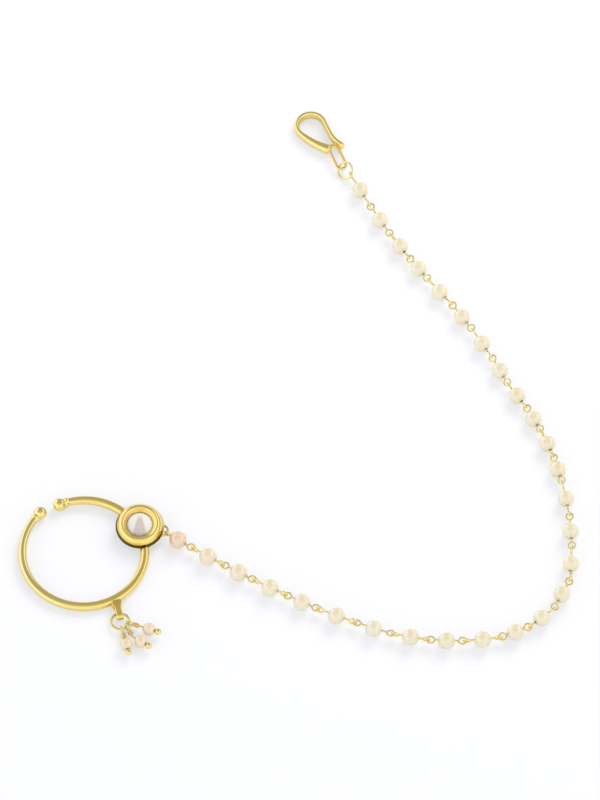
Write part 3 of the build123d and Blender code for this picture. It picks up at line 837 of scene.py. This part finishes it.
pins = np.repeat(STRETCHES[:, 1:], STRETCHES[:, 0].astype(int), axis=0)
lengths, turns, rolls = pins.T
headings = FIRST_HEADING + np.cumsum(turns) - turns[0]
steps = polar(1.0, headings) * lengths[:, None]
first_joint = np.array([*FIRST_PEARL, 0]) - steps[0] / 2
pearl_radii = np.where(np.arange(len(pins)) < BIG_PEARLS, BIG_PEARL_RADIUS, PEARL_RADIUS)
pearl_middles = first_joint + np.cumsum(steps, axis=0) - steps / 2
pearl_middles[:, 2] = pearl_radii
rolls = rolls + 90 * (np.arange(len(pins)) % 2)
reaches = np.maximum(SHORTEST_REACH, lengths / 2 - JOINT_SLACK)
print(len(pins), "pins, joint to joint", round(float(lengths.sum()), 1), "mm")


# %% Eye pins
def eye_path(reach, radius):
    """Half a pin along x: from its middle, in towards the eye, off to one side and round. The
    eye is a circle about (reach, 0) that stops where its cut end meets the stem."""
    turned = np.linspace(180 + 30, 180 + 352, 44)
    circle = polar(radius, turned) + [reach, 0, 0]
    stem = np.array([[0.0, 0, 0], [reach - radius - STEM_BACK, 0, 0]])
    return np.vstack([stem, circle])


def eye_pin(back, back_radius, back_roll, on, on_radius):
    """A whole pin: its back half is the other half turned about the pin's middle."""
    back_half = moved(eye_path(back, back_radius), [("z", 180), ("x", back_roll)])
    path = np.vstack([back_half[:0:-1], eye_path(on, on_radius)[1:]])
    return rounded_ends(eased(evenly(path, 0.11), 2), PIN_WIRE, steps=3)


def pin_surface(number):
    """One pin's skin, rolled about itself, turned to its heading and put at its pearl."""
    back, on = (reaches[number], PIN_LOOP_RADIUS, 0), (reaches[number], PIN_LOOP_RADIUS)
    if number == 0:
        back = (FIRST_REACH, FIRST_LOOP_RADIUS, 90)
    if number == len(pins) - 1:
        on = (LAST_REACH, LAST_LOOP_RADIUS)
    path, radii = eye_pin(*back, *on)
    rings = wire_rings(path, radii, radii, side=(0.05, 0.3, 1.0), sides=12)
    place = [("x", rolls[number]), ("z", headings[number])]
    return skin(moved(rings, place, pearl_middles[number]))


# %% Link the chain
pin_skins = [pin_surface(number) for number in range(len(pins))]
joint_places = first_joint + np.vstack([np.zeros(3), np.cumsum(steps, axis=0)])
joint_places[:, 2] = PEARL_RADIUS
make_gold("chain_wire", "chain_eye_pins", pin_skins, CHAIN_PALE, CHAIN_WORN, CHAIN_WORN_REACH,
          joint_places)


# %% [markdown]
# ## Pearls
# These are imitation pearls: glass or resin beads dipped in pearl lacquer. The lacquer gives a
# milky body and a clear shine on top, with faint clouds in the dip, and no two beads are quite
# alike. A plain sphere would have no hole for its pin, so each bead is a ball turned round its
# drill hole, whose rim is rounded by the lacquer. A mark called tone tells the material how warm
# each bead is, and one called rim darkens the lacquer round the hole.

# %% Pearl lacquer
CREAM, PEACH = (0.91, 0.825, 0.53), (0.90, 0.62, 0.36)
CLOUD_CREAM, HOLE_BROWN = (0.84, 0.75, 0.46), (0.45, 0.33, 0.16)


def pearl_material():
    """A milky body, cream to peach by tone, with slow clouds in it, under a strong clear coat."""
    material, shader, add, where, marked = new_material("imitation_pearl")
    clouds = ranged(add, noise(add, where, 420.0, detail=2.0), 0.35, 0.65, 0.0, 0.55)
    clouded = blended(add, clouds, blended(add, marked("tone"), CREAM, PEACH), CLOUD_CREAM)
    plug(shader, {
        "Base Color": blended(add, marked("rim"), clouded, HOLE_BROWN),
        "Roughness": ranged(add, noise(add, where, 1500.0), 0.3, 0.7, 0.28, 0.40),
        "Subsurface Weight": 0.35,
        "Subsurface Radius": (0.0012, 0.0010, 0.0007),
        "Subsurface Scale": 0.5,
        "Coat Weight": 1.0,
        "Coat Roughness": 0.08,
        "Coat IOR": 2.6,
    })
    return material


pearl_lacquer = pearl_material()


# %% Beads
RIM_ROUND = 0.09
TONES, FIRST_TONE, DROP_TONE = (0.03, 0.27), 1.0, 0.55


def bead_rings(radius):
    """A ball turned round the hole, with its axis along z: over the outside by radius x (sin,
    -cos) of a lean, then back through the hole, with the rim between them a quarter round."""
    lip = math.asin((DRILL_RADIUS + RIM_ROUND) / radius)
    lean = np.linspace(lip, math.pi - lip, 44)
    outside = radius * np.stack([np.sin(lean), -np.cos(lean)], axis=-1)
    end = radius * math.cos(lip) - RIM_ROUND
    turned = np.radians(np.linspace(20, 70, 3))
    corner = [DRILL_RADIUS + RIM_ROUND, end]
    rim = corner + RIM_ROUND * np.stack([-np.sin(turned), np.cos(turned)], axis=-1)
    height = np.linspace(end - 0.03, 0.03 - end, 4)
    hole = np.stack([DRILL_RADIUS + 0 * height, height], axis=-1)
    return spun(np.vstack([outside, rim, hole, rim[::-1] * [1, -1]]), sides=64)


def make_bead(name, node, middle, radius, heading, slope, tone):
    """One bead with its hole along a heading and a slope, marked with its tone and its rim."""
    rings = moved(bead_rings(radius), [("y", 90 - slope), ("z", heading)], middle)
    bead = make_piece(name, [skin(rings, closed=True)], pearl_lacquer, [node],
                      sharp=60)
    hole_way = polar(math.cos(math.radians(slope)), heading) + [0, 0, math.sin(math.radians(slope))]
    from_axis = np.linalg.norm(np.cross(points_of(bead) - middle, hole_way), axis=1)
    mark(bead, "tone", tone)
    mark(bead, "rim", 1.6 - from_axis / (DRILL_RADIUS + 0.05))
    return bead


# %% String the beads
tones = np.random.default_rng(7).uniform(*TONES, len(pins))
tones[0] = FIRST_TONE
for number in range(len(pins)):
    label = f"{number + 1:02d}"
    bead = make_bead(f"bead_{label}", f"chain_pearl_{label}", pearl_middles[number],
                     pearl_radii[number], headings[number], 0.0, tones[number])
report(bead, f"chain_pearl_{label}")
for number, drop in enumerate(DROPS, start=1):
    _, bend, pearl, _ = drop_route(*drop)
    slope = math.degrees(math.asin((pearl - bend)[2] / np.linalg.norm(pearl - bend)))
    bead = make_bead(f"drop_bead_{number}", f"drop_pearl_{number}", pearl, DROP_PEARL_RADIUS,
                     drop[1] + drop[3], slope, DROP_TONE)
report(bead, f"drop_pearl_{number}")


# %% [markdown]
# ## The hair hook
# The hook is a thick wire with a nearly oval section, deeper than it is wide, bent round like a
# teardrop. Its tip has a small ball so that it doesn't scratch. Its shank swells towards a long
# eye of thinner wire, closes over it in a rounded nose, and is soldered there. A curve with a
# bevel keeps one section all along, so here one skin follows the whole path, and its two half
# widths change on the way.

# %% Hook
HOOK_PLACE, HOOK_HEADING = (55.43, 109.49, 0.0), -53.0
HOOK_THICK, HOOK_DEEP, HOOK_EDGE, HOOK_RISE = 1.35, 2.30, 0.50, 2.0
HOOK_SQUARENESS, HOOK_STEP = 2.05, 0.12
HOOK_WORN, HOOK_WORN_REACH, HOOK_PALE = 0.7, 1.9, 0.6
BEND_MIDDLE, HOOK_BEND_RADIUS = (-7.25, 0.45), 3.30
TIP_RUN_SLOPE, TIP_RUN = -14.5, 3.7
TIP_FLARE_RADIUS, TIP_FLARE, TIP_BALL_RADIUS = 8.0, 31.0, 0.82
SHANK_FROM, SHANK_RADIUS, SHANK_TURN, SHANK_END_THICK, SHANK_NOSE = 8.0, 19.0, 23.4, 2.2, 1.1
EYE_MIDDLE, EYE_HEADING = (3.53, 0.12), -15.5
EYE_HALF_WIDTH, EYE_HALF_STRAIGHT, EYE_WIRE = 1.10, 2.37, 0.38


def on_hook(points):
    """Points carried from the hook's own plane to the hoop's frame."""
    reach = HOOK_BEND_RADIUS + HOOK_THICK / 2 - HOOK_EDGE - BEND_MIDDLE[0]
    lift = HOOK_DEEP / 2 + reach * math.sin(math.radians(HOOK_RISE))
    place = np.array(HOOK_PLACE) + [0, 0, lift]
    return moved(points, [("y", -HOOK_RISE), ("z", HOOK_HEADING)], place)


def hook_path():
    """From the tip: an arc that curls outwards, a straight run, the round bend, and the shank
    on a wide arc in the same turn, which stops a degree short to leave room for its nose."""
    bend_middle = np.array([*BEND_MIDDLE, 0])
    run_from = bend_middle + polar(HOOK_BEND_RADIUS, TIP_RUN_SLOPE + 90)
    run_to = run_from + polar(TIP_RUN, TIP_RUN_SLOPE)
    flare_middle = run_to + polar(TIP_FLARE_RADIUS, TIP_RUN_SLOPE + 90)
    tip_angle = TIP_RUN_SLOPE - 90 + TIP_FLARE
    flare = arc(flare_middle, TIP_FLARE_RADIUS, tip_angle, TIP_RUN_SLOPE - 90)
    bend = arc(bend_middle, HOOK_BEND_RADIUS, TIP_RUN_SLOPE + 90, SHANK_FROM + 270)
    shank_middle = bend_middle + polar(SHANK_RADIUS - HOOK_BEND_RADIUS, SHANK_FROM + 90)
    shank = arc(shank_middle, SHANK_RADIUS, SHANK_FROM - 90, SHANK_FROM - 91 + SHANK_TURN)
    return evenly(np.vstack([flare, bend, shank[1:]]), HOOK_STEP)


# %% Hook wire and eye
def hook_wire_rings():
    """An oval skin: at the tip the section is the larger of the wire and the ball, along the
    shank it swells evenly, and both ends close as a half ball does, by (cos, sin) of one angle."""
    path = hook_path()
    run = np.arange(len(path)) * HOOK_STEP
    ball = np.sqrt(np.clip(TIP_BALL_RADIUS ** 2 - run ** 2, 0, None))
    shank_length = math.radians(SHANK_TURN) * SHANK_RADIUS
    swell = np.clip(1 - (run[-1] - run) / shank_length, 0, 1)
    across = np.maximum(HOOK_THICK / 2, ball) + (SHANK_END_THICK - HOOK_THICK) / 2 * swell
    upright = np.maximum(HOOK_DEEP / 2, ball)
    lean = np.radians(np.linspace(80, 8, 8))
    shrink, reach = np.cos(lean), np.sin(lean)[:, None]
    tip_across = TIP_BALL_RADIUS * shrink
    tip_upright = tip_across * (1 + (HOOK_DEEP / 2 / TIP_BALL_RADIUS - 1) * shrink)
    before = path[0] + TIP_BALL_RADIUS * reach * (path[0] - path[1]) / HOOK_STEP
    after = path[-1] + SHANK_NOSE * reach[::-1] * (path[-1] - path[-2]) / HOOK_STEP
    across = np.concatenate([tip_across, across, shrink[::-1] * across[-1]])
    upright = np.concatenate([tip_upright, upright, shrink[::-1] * upright[-1]])
    return wire_rings(np.vstack([before, path, after]), across, upright, sides=40,
                      squareness=HOOK_SQUARENESS)


def hook_eye_rings():
    """Round wire along a long loop: two half circles, joined by two straight runs."""
    ends = arc((EYE_HALF_STRAIGHT, 0, 0), EYE_HALF_WIDTH, -90, 90, 0.1)
    loop = evenly(np.vstack([ends, -ends]), HOOK_STEP, closed=True)
    loop = moved(loop, [("z", EYE_HEADING)], (*EYE_MIDDLE, 0))
    return wire_rings(loop, EYE_WIRE, EYE_WIRE, sides=20, closed=True)


# %% Make the hook
hook_parts = [skin(on_hook(hook_wire_rings())), skin(on_hook(hook_eye_rings()), closed=True)]
hook_joint = on_hook(np.array([[0.4, 0.3, 0.0]]))
make_gold("hair_hook_wire", "chain_hook", hook_parts, HOOK_PALE, HOOK_WORN, HOOK_WORN_REACH,
          hook_joint)


# %% [markdown]
# ## Floor
# The ring lies on a plain white table. The table really receives the shadow and really bounces
# light up under the gold. More lamp light could make it white, but would bleach the pearls. So
# for the camera, and for reflections, part of it is swapped for plain white light: the
# background is white, and the shadows stay pale.

# %% Floor
FLOOR_COLOUR, FLOOR_REACH = (0.88, 0.89, 0.92), 1.2
WHITE_LEVEL, WHITE_SHARE, WHITE_IN_METAL = 1.08, 0.45, 0.15


def floor_material():
    """Plain white paint mixed with white light: one share of it for the camera, and a smaller
    one in reflections and through glass."""
    material = bpy.data.materials.new("table_top")
    material.use_nodes = True
    material.node_tree.nodes.clear()
    add = node_adder(material.node_tree)
    paint = add("ShaderNodeBsdfDiffuse", {"Color": (*FLOOR_COLOUR, 1)})
    white = add("ShaderNodeEmission", {"Strength": WHITE_LEVEL})
    rays = add("ShaderNodeLightPath").outputs
    mirrored = worked(add, "MAXIMUM", rays["Is Glossy Ray"], rays["Is Transmission Ray"])
    in_metal = worked(add, "MULTIPLY", mirrored, WHITE_IN_METAL)
    share = worked(add, "MULTIPLY_ADD", rays["Is Camera Ray"], WHITE_SHARE, in_metal)
    mix = add("ShaderNodeMixShader", {0: share, 1: paint.outputs[0], 2: white.outputs[0]})
    add("ShaderNodeOutputMaterial", {"Surface": mix.outputs[0]})
    return material


# %% Lay the floor
floor_mesh = bpy.data.meshes.new("table_top")
corners = [(x * FLOOR_REACH, y * FLOOR_REACH, 0) for x, y in ((-1, -1), (1, -1), (1, 1), (-1, 1))]
floor_mesh.from_pydata(corners, [], [(0, 1, 2, 3)])
floor_mesh.materials.append(floor_material())
table_top = add_object("table_top", floor_mesh)
print("table is", round(2 * FLOOR_REACH / MM), "mm wide")


# %% [markdown]
# ## Light
# Polished metal needs something to reflect: a broad white panel on each side, the right one
# held off the table, a dimmer ceiling and a grey room behind. Real panels could stand round the
# table, but painted into the world by direction they keep out of the way of the lamp and of
# other views. One large soft lamp from the back right throws the shadows forward and left.
# Together they light a level surface so that white comes out as white.

# %% World
ROOM_GREY, FRONT_WHITE = (0.455, 0.455, 0.465), (1.05, 1.05, 1.05)
PANEL_WHITE = (1.17, 1.20, 1.42)


def world_light():
    """The room by direction, whose x, y and z run from -1 to 1. A panel is where the direction
    is far enough to a side, and not too high, and on the right not too low. The camera sees
    plain white instead."""
    world = bpy.data.worlds.new("studio")
    world.use_nodes = True
    world.node_tree.nodes.clear()
    add = node_adder(world.node_tree)
    way = add("ShaderNodeTexCoord").outputs["Generated"]
    way = add("ShaderNodeSeparateXYZ", {"Vector": way}).outputs
    to_side = ranged(add, worked(add, "ABSOLUTE", way["X"]), 0.33, 0.50)
    not_high = ranged(add, way["Z"], 0.79, 0.62)
    off_floor, on_left = ranged(add, way["Z"], 0.22, 0.40), ranged(add, way["X"], 0.1, -0.1)
    low_enough = worked(add, "MAXIMUM", off_floor, on_left)
    panel = worked(add, "MULTIPLY", worked(add, "MULTIPLY", to_side, not_high), low_enough)
    room = blended(add, ranged(add, way["Y"], 0.1, -0.8), ROOM_GREY, FRONT_WHITE)
    glow = add("ShaderNodeBackground", {"Color": blended(add, panel, room, PANEL_WHITE)})
    white = add("ShaderNodeBackground", {"Color": (1, 1, 1, 1)})
    seen = add("ShaderNodeLightPath").outputs["Is Camera Ray"]
    mix = add("ShaderNodeMixShader", {0: seen, 1: glow.outputs[0], 2: white.outputs[0]})
    add("ShaderNodeOutputWorld", {"Surface": mix.outputs[0]})
    return world


bpy.context.scene.world = world_light()


# %% Lamp
KEY_WAY = np.array([0.33, 0.62, 0.66])
KEY_DISTANCE, KEY_SIZE, KEY_WATTS, KEY_COLOUR = 0.9, 0.60, 3.9, (1.0, 0.975, 0.92)
key_light = bpy.data.lights.new("key", "AREA")
key_light.shape = "DISK"
key_light.size = KEY_SIZE
key_light.energy = KEY_WATTS
key_light.color = KEY_COLOUR
key = add_object("key", key_light)
key.location = KEY_WAY / np.linalg.norm(KEY_WAY) * KEY_DISTANCE
key.rotation_euler = (-key.location).to_track_quat("-Z", "Y").to_euler()
key.visible_glossy = False
key.visible_transmission = False
print("lamp at, mm:", [round(place / MM) for place in key.location])


# %% [markdown]
# ## Camera and colours
# The camera stands well back and looks down at about fifty-eight degrees, with a long lens so
# that the far end of the chain isn't made small. Colours go straight to the screen, with no
# film curve.

# %% Camera
CAMERA_RISE = math.radians(58.388)
CAMERA_DISTANCE, CAMERA_LENS, SENSOR_WIDTH = 2.0, 393.39, 36
CAMERA_TARGET = np.array([0.000315, -0.004862, 0.0])
camera_data = bpy.data.cameras.new("camera")
camera_data.lens = CAMERA_LENS
camera_data.sensor_width = SENSOR_WIDTH
camera_data.sensor_fit = "AUTO"
camera_data.clip_end = 10
camera = add_object("camera", camera_data)
camera_way = np.array([0, -math.cos(CAMERA_RISE), math.sin(CAMERA_RISE)])
camera.location = CAMERA_TARGET + CAMERA_DISTANCE * camera_way
camera.rotation_euler = (math.pi / 2 - CAMERA_RISE, 0, 0)
bpy.context.scene.camera = camera
bpy.context.scene.view_settings.view_transform = "Standard"
print("camera at, mm:", [round(place / MM) for place in camera.location])
